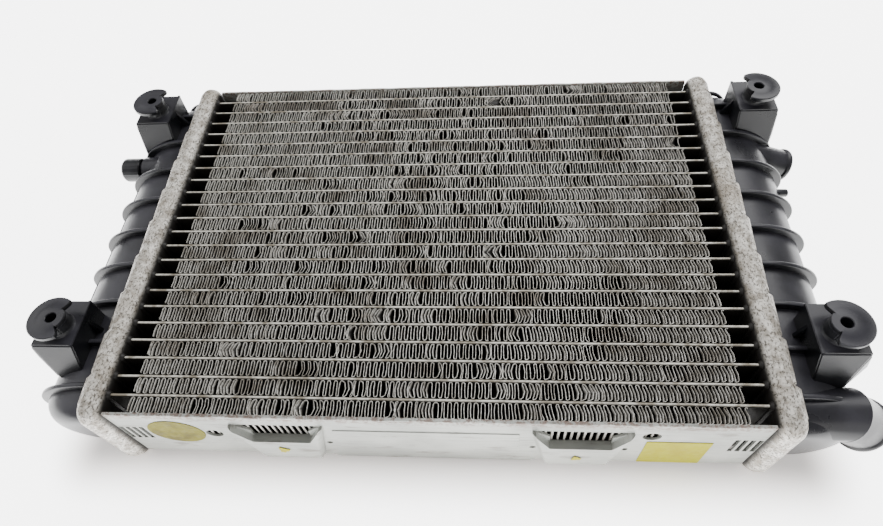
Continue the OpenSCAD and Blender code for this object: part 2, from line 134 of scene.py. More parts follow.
world = bpy.data.worlds.new("studio")
bpy.context.scene.world = world
world.use_nodes = True
world.node_tree.nodes["Background"].inputs[0].default_value = (1, 1, 1, 1)
world.node_tree.nodes["Background"].inputs[1].default_value = WORLD_STRENGTH


# ---------------------------------------------------------------- materials
class Mat:
    def __init__(self, name):
        self.m = bpy.data.materials.new(name)
        self.m.use_nodes = True
        self.t = self.m.node_tree
        self.p = self.t.nodes["Principled BSDF"]
        self.co = self.t.nodes.new("ShaderNodeTexCoord").outputs["Object"]

    def put(self, socket, value):
        if hasattr(value, "is_output"):
            self.t.links.new(value, socket)
        elif isinstance(value, (tuple, list)) and len(value) == 3 and socket.type == "RGBA":
            socket.default_value = (*value, 1)
        else:
            socket.default_value = value

    def set(self, **inputs):
        for key, value in inputs.items():
            self.put(self.p.inputs[key.replace("_", " ")], value)

    def scaled(self, sx, sy, sz):
        n = self.t.nodes.new("ShaderNodeMapping")
        self.t.links.new(self.co, n.inputs["Vector"])
        n.inputs["Scale"].default_value = (sx, sy, sz)
        return n.outputs[0]

    def noise(self, scale, detail=4.0, rough=0.55, co=None):
        n = self.t.nodes.new("ShaderNodeTexNoise")
        self.t.links.new(co or self.co, n.inputs["Vector"])
        n.inputs["Scale"].default_value = scale
        n.inputs["Detail"].default_value = detail
        n.inputs["Roughness"].default_value = rough
        return n.outputs["Fac"]

    def ramp(self, value, lo, hi, a=0.0, b=1.0):
        n = self.t.nodes.new("ShaderNodeMapRange")
        n.interpolation_type = "SMOOTHSTEP"
        self.put(n.inputs["Value"], value)
        for key, v in (("From Min", lo), ("From Max", hi), ("To Min", a), ("To Max", b)):
            n.inputs[key].default_value = v
        return n.outputs[0]

    def math(self, op, a, b=0.0):
        n = self.t.nodes.new("ShaderNodeMath")
        n.operation = op
        self.put(n.inputs[0], a)
        self.put(n.inputs[1], b)
        return n.outputs[0]

    def mix(self, fac, a, b):
        n = self.t.nodes.new("ShaderNodeMix")
        n.data_type = "RGBA"
        self.put(n.inputs[0], fac)
        self.put(n.inputs[6], a)
        self.put(n.inputs[7], b)
        return n.outputs[2]

    def axis(self, which):
        n = self.t.nodes.new("ShaderNodeSeparateXYZ")
        self.t.links.new(self.co, n.inputs[0])
        return n.outputs[which]

    def up(self):
        g = self.t.nodes.new("ShaderNodeNewGeometry")
        n = self.t.nodes.new("ShaderNodeSeparateXYZ")
        self.t.links.new(g.outputs["Normal"], n.inputs[0])
        return n.outputs["Z"]

    def bump(self, height, strength, distance):
        n = self.t.nodes.new("ShaderNodeBump")
        n.inputs["Strength"].default_value = strength
        n.inputs["Distance"].default_value = distance
        self.t.links.new(height, n.inputs["Height"])
        self.t.links.new(n.outputs[0], self.p.inputs["Normal"])
        return self


def srgb(r, g, b):
    return tuple(((c / 255 + 0.055) / 1.055) ** 2.4 if c > 10 else c / 3294.6 for c in (r, g, b))


def header_mat():
    m = Mat("header_aluminium")
    speck = m.noise(1000, 5, 0.7, m.scaled(1, 0.6, 1))
    blot = m.noise(230, 6, 0.65)
    broad = m.noise(30, 3, 0.5)
    c = m.mix(m.ramp(blot, 0.36, 0.62), srgb(158, 151, 140), srgb(222, 218, 210))
    c = m.mix(m.ramp(broad, 0.48, 0.7, 0, 0.5), c, srgb(142, 129, 110))
    c = m.mix(m.ramp(speck, 0.5, 0.6, 0, 0.9), c, srgb(72, 66, 57))
    # Painted shade, with some grime, on the side facing the core: near black next to the core's
    # ends
    x = m.math("ABSOLUTE", m.math("SUBTRACT", m.axis("X"), CORE_TOP[0]))
    c = m.mix(m.ramp(x, (HALF_X + 0.4) * MM, (HALF_X + 2.6) * MM), srgb(26, 23, 20), c)
    m.set(Base_Color=c, Metallic=0.2, Roughness=m.ramp(blot, 0.3, 0.7, 0.62, 0.45))
    return m.bump(speck, 0.45, 0.00022).m


def plate_mat():
    m = Mat("side_aluminium")
    lines = m.noise(60, 8, 0.7, m.scaled(0.6, 4, 14))
    dirt = m.noise(120, 6, 0.65, m.scaled(0.35, 1, 1))
    broad = m.noise(22, 3)
    spots = m.noise(500, 5, 0.7)
    edge = m.ramp(m.axis("Z"), (Z_FRONT - 8) * MM, (Z_FRONT - 1) * MM, 0, 1)
    c = m.mix(m.ramp(broad, 0.35, 0.7), srgb(146, 148, 143), srgb(176, 178, 172))
    c = m.mix(m.ramp(lines, 0.55, 0.72, 0, 0.6), c, srgb(104, 100, 92))
    c = m.mix(m.ramp(dirt, 0.56, 0.7, 0, 0.6), c, srgb(84, 74, 64))
    rust = m.math("MULTIPLY", edge, m.ramp(spots, 0.45, 0.56))
    c = m.mix(m.math("MULTIPLY", rust, 0.75), c, srgb(96, 66, 52))
    m.set(Base_Color=c, Metallic=0.35, Roughness=m.ramp(lines, 0.3, 0.7, 0.34, 0.55))
    return m.bump(m.math("ADD", lines, dirt), 0.35, 0.0003).m


def tube_mat():
    m = Mat("tube_aluminium")
    along = m.noise(260, 6, 0.7, m.scaled(0.5, 1, 1))
    # Painted shade: each tube goes near black more than about 0.3 mm behind its front edge, down
    # between the fins
    deep = m.ramp(m.axis("Z"), (Z_FRONT - 0.32) * MM, (Z_FRONT - 0.02) * MM)
    c = m.mix(m.ramp(along, 0.4, 0.62), srgb(226, 223, 212), srgb(140, 132, 116))
    c = m.mix(deep, srgb(30, 27, 23), c)
    m.set(Base_Color=c, Metallic=0.25, Roughness=0.42)
    return m.bump(along, 0.4, 0.0004).m


def fin_mat():
    m = Mat("fin_aluminium")
    fine = m.noise(900, 4, 0.6)
    patch = m.noise(36, 5, 0.6)
    z = m.axis("Z")
    # Painted shade: the fins are near black deeper than about 1.5 mm inside the core's front and
    # back faces, and light only near these faces
    top = m.ramp(z, (Z_FRONT - 1.5) * MM, (Z_FRONT - 0.35) * MM)
    back = m.ramp(z, (Z_BACK + 1.5) * MM, (Z_BACK + 0.35) * MM)
    edge = m.math("MAXIMUM", top, back)
    light = m.mix(m.ramp(fine, 0.35, 0.65), srgb(186, 182, 172), srgb(246, 244, 238))
    light = m.mix(m.ramp(patch, 0.46, 0.66, 0, 0.65), light, srgb(120, 107, 90))
    # The folds that face the side plates show through the plates' windows, so the painted shade is
    # kept off them
    y = m.math("ABSOLUTE", m.axis("Y"))
    ends = m.ramp(y, (FIN_END - 0.5) * MM, (FIN_END - 0.1) * MM, 0, 0.85)
    edge = m.math("MAXIMUM", edge, ends)
    # Bent flat and dull over the part nearest the hose necks
    strokes = m.ramp(m.noise(300, 5, 0.7, m.scaled(1, 0.3, 1)), 0.35, 0.6)
    brushed = m.math("MULTIPLY", m.ramp(m.axis("X"), 0.05, 0.12), strokes)
    light = m.mix(m.math("MULTIPLY", brushed, 0.6), light, srgb(104, 99, 90))
    # Near black: the painted shade inside the core
    c = m.mix(edge, srgb(16, 14, 11), light)
    m.set(Base_Color=c, Metallic=0.3, Roughness=m.ramp(fine, 0.3, 0.7, 0.5, 0.34))
    return m.bump(fine, 0.3, 0.0002).m


def plastic_mat(name, dust_and_sheen):
    m = Mat(name)
    grain = m.noise(1500, 3, 0.5)
    cloud = m.noise(40, 5, 0.6)
    streak = m.noise(160, 6, 0.7)
    c = m.mix(m.ramp(cloud, 0.35, 0.7), srgb(13, 14, 16), srgb(24, 25, 29))
    # Dust and a painted sheen: faces that look up are mixed towards a light bluish grey
    film = m.math("MULTIPLY", m.ramp(m.up(), 0.3, 0.98), m.ramp(cloud, 0.3, 0.7, 0.35, 1))
    c = m.mix(m.math("MULTIPLY", film, dust_and_sheen), c, srgb(62, 61, 68))
    c = m.mix(m.ramp(streak, 0.66, 0.76, 0, 0.3), c, srgb(88, 86, 86))
    m.set(Base_Color=c, Roughness=m.ramp(cloud, 0.3, 0.7, 0.26, 0.42), Specular_IOR_Level=0.4)
    return m.bump(grain, 0.25, 0.0001).m


def rubber_mat():
    m = Mat("gasket_rubber")
    n = m.noise(600, 4)
    m.set(Base_Color=m.mix(n, (0.012, 0.012, 0.012), (0.03, 0.03, 0.03)))
    m.set(Roughness=m.ramp(n, 0.3, 0.7, 0.7, 0.9))
    return m.bump(n, 0.2, 0.0002).m


def film_mat(name, clean, worn, dirt):
    m = Mat(name)
    blot = m.noise(260, 6, 0.7)
    broad = m.noise(90, 4)
    c = m.mix(m.ramp(broad, 0.38, 0.64), clean, worn)
    c = m.mix(m.ramp(blot, 0.58, 0.72, 0, dirt), c, srgb(104, 96, 60))
    m.set(Base_Color=c, Roughness=m.ramp(blot, 0.3, 0.7, 0.45, 0.65), Specular_IOR_Level=0.15)
    return m.bump(blot, 0.2, 0.0001).m


def floor_mat():
    m = Mat("floor")
    n = m.noise(3, 2)
    m.set(Base_Color=m.mix(n, (0.93, 0.93, 0.93), (0.96, 0.955, 0.95)), Roughness=0.6)
    # The floor glows less round the part: this shade is painted, not cast
    squares = []
    for axis, half in (("X", 0.185), ("Y", 0.112)):
        d = m.math("SUBTRACT", m.math("ABSOLUTE", m.axis(axis)), half)
        d = m.math("MAXIMUM", d, 0.0)
        squares.append(m.math("MULTIPLY", d, d))
    away = m.math("SQRT", m.math("ADD", *squares))
    m.set(Emission_Color=m.mix(m.ramp(away, 0.0, 0.03), (1.0, 0.93, 0.88), (1.0, 1.0, 1.0)))
    m.set(Emission_Strength=m.ramp(away, 0.0, 0.035, 0.5, 5.0))
    return m.m


HEADER, PLATE, TUBE, FIN = header_mat(), plate_mat(), tube_mat(), fin_mat()
PLASTIC, CAP = plastic_mat("tank_plastic", 0.75), plastic_mat("cap_plastic", 0.2)
RUBBER = rubber_mat()
STICKER = film_mat("sticker_film", srgb(108, 103, 0), srgb(84, 76, 0), 0.6)
LABEL = film_mat("label_film", srgb(158, 154, 0), srgb(150, 142, 0), 0.12)
PAINT = film_mat("paint_dab", srgb(176, 170, 30), srgb(160, 150, 30), 0.5)

bpy.ops.mesh.primitive_plane_add(size=30, location=(0, 0, -0.0002))
floor = bpy.context.object
floor.name = "floor"
floor.data.materials.append(floor_mat())


# ---------------------------------------------------------------- mesh making
class Parts:
    """Vertices in mm and faces of several closed shells that make one piece."""

    def __init__(self):
        self.v, self.f, self.n = [], [], 0

    def add(self, verts, faces):
        self.v.append(np.asarray(verts, float))
        self.f.extend([tuple(i + self.n for i in face) for face in faces])
        self.n += len(verts)

    def loft(self, rings, wrap_path=False):
        rings = np.asarray(rings, float)
        n, m = rings.shape[:2]
        faces = []
        for i in range(n if wrap_path else n - 1):
            a, b = i * m, ((i + 1) % n) * m
            faces += [(a + j, a + (j + 1) % m, b + (j + 1) % m, b + j) for j in range(m)]
        if not wrap_path:
            faces += [tuple(range(m))[::-1], tuple((n - 1) * m + j for j in range(m))]
        self.add(rings.reshape(-1, 3), faces)

    def hull(self, points, bevel, segments=3):
        bm = bmesh.new()
        for p in points:
            bm.verts.new(p)
        bmesh.ops.convex_hull(bm, input=bm.verts)
        loose = [v for v in bm.verts if not v.link_faces]
        bmesh.ops.delete(bm, geom=loose, context="VERTS")
        bmesh.ops.dissolve_limit(bm, angle_limit=0.02, verts=bm.verts, edges=bm.edges)
        bmesh.ops.bevel(
            bm,
            geom=list(bm.edges),
            offset=bevel,
            segments=segments,
            affect="EDGES",
            clamp_overlap=True,
        )
        bm.verts.ensure_lookup_table()
        faces = [tuple(v.index for v in f.verts) for f in bm.faces]
        self.add([tuple(v.co) for v in bm.verts], faces)
        bm.free()

    def piece(self, name, mat, body="radiator", sharp=32, replaces=()):
        me = bpy.data.meshes.new(name)
        me.from_pydata((np.concatenate(self.v) * MM).tolist(), [], self.f)
        bm = bmesh.new()
        bm.from_mesh(me)
        bmesh.ops.recalc_face_normals(bm, faces=bm.faces)
        bm.to_mesh(me)
        bm.free()
        me.materials.append(mat)
        me.shade_smooth()
        me.set_sharp_from_angle(angle=math.radians(sharp))
        ob = bpy.data.objects.new(name, me)
        bpy.context.scene.collection.objects.link(ob)
        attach(ob, body)
        if replaces:
            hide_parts(*replaces)
        return ob


def out(side, x, y, z):
    """A point x mm out from the core's end on that side, z mm from the middle of the depth."""
    return (FACE[side] + side * x, y, Z_MID + z)


def frame_axes(axis):
    a = Vector(axis).normalized()
    b = a.cross(Vector((0, 1, 0)))
    b = b.normalized() if b.length > 0.1 else a.cross(Vector((1, 0, 0))).normalized()
    return np.array(a), np.array(b), np.array(a.cross(b))


def lathe(parts, origin, axis, profile, n=64):
    """Turns a closed loop of (radius, height) points round an axis into a ring-like solid."""
    a, b, c = frame_axes(axis)
    t = np.linspace(0, 2 * np.pi, n, endpoint=False)
    rings = [
        [np.array(origin) + a * h + r * (b * math.cos(s) + c * math.sin(s)) for r, h in profile]
        for s in t
    ]
    parts.loft(rings, wrap_path=True)


# ---------------------------------------------------------------- header plates
TAB_YS = [(i - 4) * RIB_PITCH + 2 for i in range(RIBS)]
OUTLINE_STEP, HEADER_CORNER = 1.1, 9.0
BEAD_R, SHEET = 7, 1.4  # depth of the rolled bead, and the sheet's thickness as drawn


def header_outline():
    """Stations round a header plate's outline: place and outward direction in Y and Z."""
    cy, cz = HALF_Y - HEADER_CORNER, HALF_Z - HEADER_CORNER
    stations = []

    def turn(start, sz, z):
        for a in np.linspace(start, start + 90, 11)[1:-1]:
            ny, nz = math.cos(math.radians(a)) * sz, math.sin(math.radians(a)) * sz
            stations.append((-sz * cy + HEADER_CORNER * ny, z + HEADER_CORNER * nz, ny, nz))

    for sz in (1, -1):
        ys = np.linspace(cy, -cy, int(2 * cy / OUTLINE_STEP)) * sz
        stations.extend((y, sz * HALF_Z, 0.0, float(sz)) for y in ys)
        turn(90, sz, sz * cz)
        stations.extend((-sz * HALF_Y, sz * z, -float(sz), 0.0) for z in np.linspace(cz, -cz, 14))
        turn(180, sz, -sz * cz)
    return stations


def header(side, name):
    parts = Parts()
    rings = []
    half = BEAD_W / 2
    for y, z, ny, nz in header_outline():
        lip, notch = half * 0.8, 0.0
        if abs(nz) > 0.99:  # the long sides, where the lip is cut into tabs
            lip = half * (0.78 + 0.2 * (((y - TAB_YS[0]) / RIB_PITCH) % 1.0))
            notch = max(0.0, 1 - min(abs(y - t) for t in TAB_YS) / 1.5)
        dent = 0.07 * math.sin(y * 0.31 + z) + 0.05 * math.sin(y * 0.77 + 2 * z + side)
        ring = []

        def point(t, d, thinner):
            """Adds a point at angle t round the bead, pushed in where a notch is."""
            x = half + ((half if t < 0 else lip) - thinner) * math.sin(math.radians(t))
            w = notch * min(1, max(0, (t - 22) / 30))
            ring.append((x - 2.4 * w, d + 2.6 * w))

        for t in range(-90, 79, 8):
            r = math.radians(t)
            point(t, BEAD_R - BEAD_R * math.cos(r) + dent * math.cos(r), 0)
        for t in range(70, -61, -13):
            point(t, BEAD_R - (BEAD_R - SHEET) * math.cos(math.radians(t)), SHEET)
        ring += [(2.0, 7.2), (2.0, 8.6), (0.0, 8.6)]
        rings.append([out(side, x, y - ny * d, z - nz * d) for x, d in ring])
    parts.loft(rings, wrap_path=True)
    # The tray's floor, and a raised collar round each tube
    hy, hz = HALF_Y - 8.3, HALF_Z - 8.3
    corners = [out(side, x, y, z) for x in (0.0, 2.0) for y in (-hy, hy) for z in (-hz, hz)]
    parts.hull(corners, 0.3, 2)
    arc = [math.radians(a) for a in range(0, 181, 20)]
    for k in range(1, TUBES + 1):
        lo, hi = box(f"tube_{k:02d}")
        y0, r0 = (lo[1] + hi[1]) / 2, (hi[1] - lo[1]) / 2
        reach = (hi[2] - lo[2]) / 2 - r0
        collar = ((0.3, 1.5), (-0.5, 1.1), (-1.1, 0.5), (-1.1, 0.05), (0.3, 0.05))
        loops = []
        for x, wider in collar:
            r = r0 + wider
            loop = [out(side, x, y0 + r * math.cos(a), reach + r * math.sin(a)) for a in arc]
            loop += [out(side, x, y0 - r * math.cos(a), -reach - r * math.sin(a)) for a in arc]
            loops.append(loop)
        parts.loft(loops, wrap_path=True)
    node = name.replace("_tray", "_plate")
    parts.piece(name, HEADER, sharp=40, replaces=(node,))


header(-1, "left_header_tray")
header(1, "right_header_tray")


# ---------------------------------------------------------------- fins
def smooth_noise(x, y, scale, seed):
    """Sum of fixed waves: a smooth field between about -1 and 1."""
    r = np.random.default_rng(seed)
    total = np.zeros(np.broadcast(x, y).shape)
    for _ in range(9):
        a, w = r.uniform(0, 2 * np.pi), r.uniform(0.5, 1.6) / scale
        p = r.uniform(0, 2 * np.pi)
        total = total + np.sin((np.cos(a) * x + np.sin(a) * y) * w * 2 * np.pi + p)
    return total / 4


FIN_PITCH = 1.53


def fin(k):
    """Fin strip k: a folded sheet whose edges lean, bow and are knocked over in places."""
    lo, hi = box(f"fin_{k:02d}")
    pitch = FIN_PITCH
    legs = int(round((hi[0] - lo[0]) / pitch))
    rise = hi[1] - lo[1]
    us, xs, leg_of = [], [], []
    rng.uniform(-1.2, 2.0)  # drawn and not used: it keeps the order of the draws below
    for j in range(legs):
        x = lo[0] + (j + 0.5) * pitch + rng.normal(0, 0.06)
        up = j % 2 == 0
        for u in (0.12, 0.5, 0.88):
            us.append(u if up else 1 - u)
            xs.append(x + (u - 0.5) * 0.1)
            leg_of.append(j)
        for s in (0.25, 0.5, 0.75):
            v = 0.88 + 0.105 * math.sin(s * math.pi)
            us.append(v if up else 1 - v)
            xs.append(x + pitch * (0.5 - 0.5 * math.cos(s * math.pi)))
            leg_of.append(j)
    us, xs, leg_of = np.array(us), np.array(xs), np.array(leg_of)
    n = len(us)
    ys = lo[1] + us * rise
    bow = rng.normal(0, 0.13, legs)[leg_of] * np.sin(us * np.pi)
    # How far each point of the front edge leans over
    lean = 0.2 * smooth_noise(xs, ys, 30, 3) + 0.2 * smooth_noise(xs, ys, 7, 100 + k)
    mid = np.sin(us * np.pi) ** 0.7
    knocks = np.zeros(legs)
    for _ in range(int(rng.uniform(10, 20))):
        c = int(np.clip(rng.normal(legs * 0.52, legs * 0.26), 2, legs - 3))
        w = int(rng.integers(1, 4))
        knocks[c - w : c + w] += rng.choice([-1, 1]) * rng.uniform(0.7, 1.9)
    lean = (lean + knocks[leg_of] + rng.normal(0, 0.12, legs)[leg_of]) * mid
    # Where the fins are pressed flat: mostly towards the hose necks, and by the header plate
    zone = smooth_noise(xs, ys, 70, 5) + 1.3 * np.clip((xs - 30) / 90, -1, 1)
    zone = zone - 0.9 * np.clip((ys - 40) / 60, -0.2, 1)
    by_header = np.clip(1 - abs(xs - (hi[0] - 9)) / 5, 0, 1) * 0.8
    zone = np.clip(np.clip((zone - 0.35) * 1.6, 0, 1) + by_header, 0, 1)
    flat = zone * 1.1 * np.clip((0.86 - us) / 0.22, 0, 1) * np.clip(us / 0.08, 0, 1)
    lean = lean * (1 - 0.6 * zone) + flat
    back = (0.3 * smooth_noise(xs, ys, 25, 8) + 0.2 * smooth_noise(xs, ys, 6, 300 + k)) * mid
    # Levels through the strip's depth: how far each takes part in the lean, and its thickness
    tx, ty = np.gradient(xs), np.gradient(ys)
    length = np.hypot(tx, ty)
    nx, ny = -ty / length, tx / length
    depth = [0, 0.25, 0.9, 2.2, 5.0, 46.0, 49.8, 51.2, 52.0]
    front_share = [1.0, 0.94, 0.62, 0.22, 0, 0, 0, 0, 0]
    back_share = [0, 0, 0, 0, 0, 0, 0.3, 0.75, 1.0]
    thick = [0.18, 0.27, 0.22, 0.16, 0.15, 0.15, 0.16, 0.24, 0.18]
    rings = []
    for d, fs, bs, th in zip(depth, front_share, back_share, thick):
        dx = bow + lean * fs + back * bs
        sunk = 0.28 * np.abs(lean) * fs if d < 3 else 0
        raised = 0.25 * np.abs(back) * bs if d > 48 else 0
        z = Z_FRONT - d - sunk + raised
        for s in (-0.5, 0.5):
            y = np.clip(ys + s * th * ny, lo[1], hi[1])
            rings.append(np.stack([xs + dx + s * th * nx, y, z + 0 * xs], 1))
    front = [rings[2 * i] for i in range(len(depth))]
    rear = [rings[2 * i + 1] for i in range(len(depth))]
    loop = np.stack(front + rear[::-1], 1)  # n points along, each a closed ring of 2 * levels
    m = loop.shape[1]
    i = np.arange(n - 1)[:, None] * m
    j = np.arange(m)[None, :]
    step = (j + 1) % m
    quads = np.stack([i + j, i + step, i + m + step, i + m + j], -1).reshape(-1, 4)
    me = bpy.data.meshes.new(f"fin_strip_{k:02d}")
    faces = quads.tolist() + [list(range(m))[::-1], [(n - 1) * m + q for q in range(m)]]
    me.from_pydata((loop.reshape(-1, 3) * MM).tolist(), [], faces)
    me.materials.append(FIN)
    me.shade_smooth()
    me.set_sharp_from_angle(angle=math.radians(50))
    ob = bpy.data.objects.new(f"fin_strip_{k:02d}", me)
    bpy.context.scene.collection.objects.link(ob)
    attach(ob, "radiator")
    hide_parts(f"fin_{k:02d}")


for number in range(1, TUBES + 2):
    fin(number)


# ---------------------------------------------------------------- tanks
def barrel(parts, side):
    rings = []
    turns = [math.radians(a) for a in range(90, 0, -6)]
    dome = HALF_Y - TANK_IN - DOME
    ys = [(-dome - DOME * math.sin(t), t) for t in turns]
    ys += [(y, 0.0) for y in np.linspace(-dome, dome, 34)]
    ys += [(dome + DOME * math.sin(t), t) for t in turns[::-1]]
    for y, t in ys:
        a = REACH * (0.22 + 0.78 * math.cos(t) ** 0.8)
        b = HALF_B * (0.55 + 0.45 * math.cos(t) ** 0.8)
        ring = [out(side, 12.5, y, -b)]
        for v in range(-90, 91, 5):
            r = math.radians(v)
            ring.append(out(side, ELL_X + a * math.cos(r), y, b * math.sin(r)))
        ring.append(out(side, 12.5, y, b))
        rings.append(ring)
    parts.loft(rings)


def rib(parts, side, y, a, b):
    """Rib over the barrel at y, its outer edge an ellipse of half axes a and b."""
    rings = []
    h, r, x0 = RIB_T / 2, 0.8, 15.2  # half thickness, rounding of the outer edge, foot
    path = [(x0, -b, x0, -b + 6)]
    for v in range(-90, 91, 5):
        c, s = math.cos(math.radians(v)), math.sin(math.radians(v))
        root_x = ELL_X + (REACH - 2) * min(1, a / REACH) * c
        path.append((ELL_X + a * c, b * s, root_x, (HALF_B - 2) * s))
    path.append((x0, b, x0, b - 6))
    for ox, oz, ix, iz in path:
        d = math.hypot(ox - ix, oz - iz)
        ux, uz = (ox - ix) / d, (oz - iz) / d
        ring = [out(side, ix, y - h, iz)]
        for e, turns in ((-1, range(0, 91, 30)), (1, range(90, -1, -30))):
            for t in turns:
                q = math.radians(t)
                back = r - r * math.sin(q)
                ye = y + e * h - e * r + e * r * math.cos(q)
                ring.append(out(side, ox - ux * back, ye, oz - uz * back))
        ring.append(out(side, ix, y + h, iz))
        rings.append(ring)
    parts.loft(rings)


def bracket(parts, side, i):
    """Moulded block under screw post i, its gusset down to the barrel, its rim and its web."""
    px = POST_X - abs(FACE[side] - post_mid[0])
    top = POST_TOP - POST_H - Z_MID
    drop, low = ((10, 10), (18, 6))[i]  # height of the block, and of the gusset under it
    gusset_x = (ELL_X + 3 + 0.62 * REACH, ELL_X + 0.96 * REACH)[i]
    w, length = 22.5, 27.0
    x0, y0, z0 = px - w / 2 + 0.5, POST_YS[i] + 2 - length / 2, top - drop
    x1, y1 = x0 + w, y0 + length
    pts = [out(side, x, y, z) for x in (x0, x1) for y in (y0, y1) for z in (z0, top)]
    pts += [out(side, x, y, z0 - 2) for x in (x0, x1 + 3) for y in (y0, y1)]
    pts += [out(side, x, y, z0 - low) for x in (x0, gusset_x) for y in (y0 - 9, y1)]
    parts.hull(pts, 0.7)
    # Raised rim on the platform's inner edge, and the small web beside it
    rim_x, rim_z = (x0, x0 + 1.6), (top - 1, top + 0.35)
    parts.hull([out(side, x, y, z) for x in rim_x for y in (y0, y1) for z in rim_z], 0.3, 2)
    web_y = y0 + length * (0.5 if i else 0.62)
    web_ys = (web_y - 1.2, web_y + 1.2)
    web = [out(side, x0 + 1, y, z) for y in web_ys for z in (-2 + HALF_B - 3, top - 1)]
    web += [out(side, x0 - (7 if i else 4), y, HALF_B - 3) for y in web_ys]
    parts.hull(web, 0.35, 2)
    post(parts, side, px, POST_YS[i], top)


def disc_radius(away):
    """Radius of a post and its disc, at an angle away from the side that faces the core."""
    if away < CUT_FROM:
        return POST_R
    if away >= CUT_TO:
        return DISC_R
    if away <= 54:
        return 6.1
    return POST_R + (DISC_R - POST_R) * ((away - CUT_FROM) / (CUT_TO - CUT_FROM)) ** 0.5


def post(parts, side, px, y, base):
    """Screw post with its disc, cut back to the post on the side facing the core."""
    top = POST_TOP - Z_MID
    rings = []
    for t in np.linspace(0, 360, 144, endpoint=False):
        r = disc_radius(abs(t - 180))
        collar, edge = min(r, 7.6), 0.12 if r > 7 else 0.3
        c, s = math.cos(math.radians(t)), math.sin(math.radians(t))
        prof = [(SCREW_R, top - 20), (SCREW_R, top - 0.35), (SCREW_R + 0.35, top)]
        prof += [(collar - 0.2, top), (collar, top - edge)]
        prof += [(r - 0.4, top - (0.12 if r > 7 else 0.32)), (r, top - 0.5), (r, top - 2.3)]
        prof += [(r - 0.3, top - 2.6), (min(r, 6.7), top - 2.7), (6.6, base + 1.6)]
        prof += [(6.9, base + 0.7), (7.9, base - 0.2), (7.9, base - 2)]
        rings.append([out(side, px + q * c, y + q * s, z) for q, z in prof])
    parts.loft(rings, wrap_path=True)


def pipe_ring(side, centre, radius, along, stretch):
    """Circle round a pipe's centre, stretched where it lies on a mitre."""
    ring = []
    for t in range(0, 360, 6):
        s, q = math.sin(math.radians(t)), math.cos(math.radians(t))
        x = centre[0] - along[1] * radius * q * stretch
        z = centre[2] + along[0] * radius * q * stretch
        ring.append(out(side, x, centre[1] + radius * s, z))
    return ring


def pipe(parts, side, bore, steps):
    """Hollow pipe; a step is a centre, a bead's height, the direction in X and Z, and a stretch."""
    outer = [pipe_ring(side, c, bore + NECK_WALL + b, along, k) for c, b, along, k in steps]
    inner = [pipe_ring(side, c, bore, along, k) for c, _, along, k in steps]
    parts.loft(outer + inner[::-1])


def local(side, mount):
    p = np.array(mount["pos_m"]) / MM
    return np.array([(p[0] - FACE[side]) * side, p[1], p[2] - Z_MID])


def straight_neck(parts, side, mount, behind, ahead, bead):
    """Straight neck on a mount's axis, from behind its middle to ahead of it, beaded at the end."""
    c = local(side, mount)
    a = np.array([mount["axis"][0], 0, mount["axis"][2]])
    stations = [(-behind, 0), (ahead - 3.4, 0), (ahead - 2.9, bead * 0.6), (ahead - 2.2, bead)]
    stations += [(ahead - 1.2, bead), (ahead - 0.5, bead * 0.7), (ahead, 0.1)]
    steps = [(c + a * s, b, (a[0], a[2]), 1) for s, b in stations]
    pipe(parts, side, mount["dims"]["r_mm"], steps)


def bent_neck(parts, side, mount):
    """Neck that leaves the barrel along X and bends at a mitre onto a mount's axis."""
    a = np.array([mount["axis"][0], 0, mount["axis"][2]])
    elbow = local(side, mount) - a * (LOWER_LEN - mount["dims"]["length_mm"] / 2)
    half = np.array([1.0, 0, 0]) + a
    half = half / np.linalg.norm(half)
    mitre, k = (half[0], half[2]), 1 / float(half[0])
    steps = [(elbow - [24, 0, 0], 0, (1.0, 0.0), 1), (elbow - [0.35, 0, 0], 0, mitre, k)]
    steps += [(elbow, 0.22, mitre, k), (elbow + a * 0.35, 0, mitre, k)]
    bead = ((13.9, 0), (14.5, 0.6), (15.2, 1.0), (16.3, 1.0), (17.0, 0.7), (LOWER_LEN, 0.1))
    steps += [(elbow + a * s, b, (a[0], a[2]), 1) for s, b in bead]
    pipe(parts, side, mount["dims"]["r_mm"], steps)


def right_extras(parts):
    upper = mounts["upper_hose_neck"]
    half_mouth = upper["dims"]["length_mm"] / 2
    straight_neck(parts, 1, upper, UPPER_LEN - half_mouth, half_mouth, 1.0)
    bent_neck(parts, 1, mounts["lower_hose_neck"])
    # Peg for a cable clip
    y = RIB_Y0 + 5.5 * RIB_PITCH
    peg = [(0.6, 0), (2.4, 0), (2.4, 7.4), (2.0, 8), (0.6, 8)]
    lathe(parts, out(1, ELL_X + REACH - 5, y, 6), (1, 0, 0), peg, 24)


def left_extras(parts):
    lo, hi = box("bleed_cap")
    y, z = (lo[1] + hi[1]) / 2, (lo[2] + hi[2]) / 2
    start = FACE[-1] - ELL_X - REACH + 14
    reach = start - lo[0] - 3.5
    prof = [(2.5, 0), (9.0, 0), (8.2, 12.5), (6.4, 14.0), (5.6, 15.2), (5.6, reach), (2.5, reach)]
    lathe(parts, (start, y, z), (-1, 0, 0), prof, 48)
    # Spine joining the ribs along the outside
    for i in range(1, 6):
        ya, yb = RIB_Y0 + i * RIB_PITCH, RIB_Y0 + (i + 1) * RIB_PITCH
        x1 = ELL_X + REACH + RIB_H - 0.6
        ends = [(x, y) for x in (x1 - 6, x1) for y in (ya, yb)]
        parts.hull([out(-1, x, y, z) for x, y in ends for z in (-1.4, 1.4)], 0.45, 2)


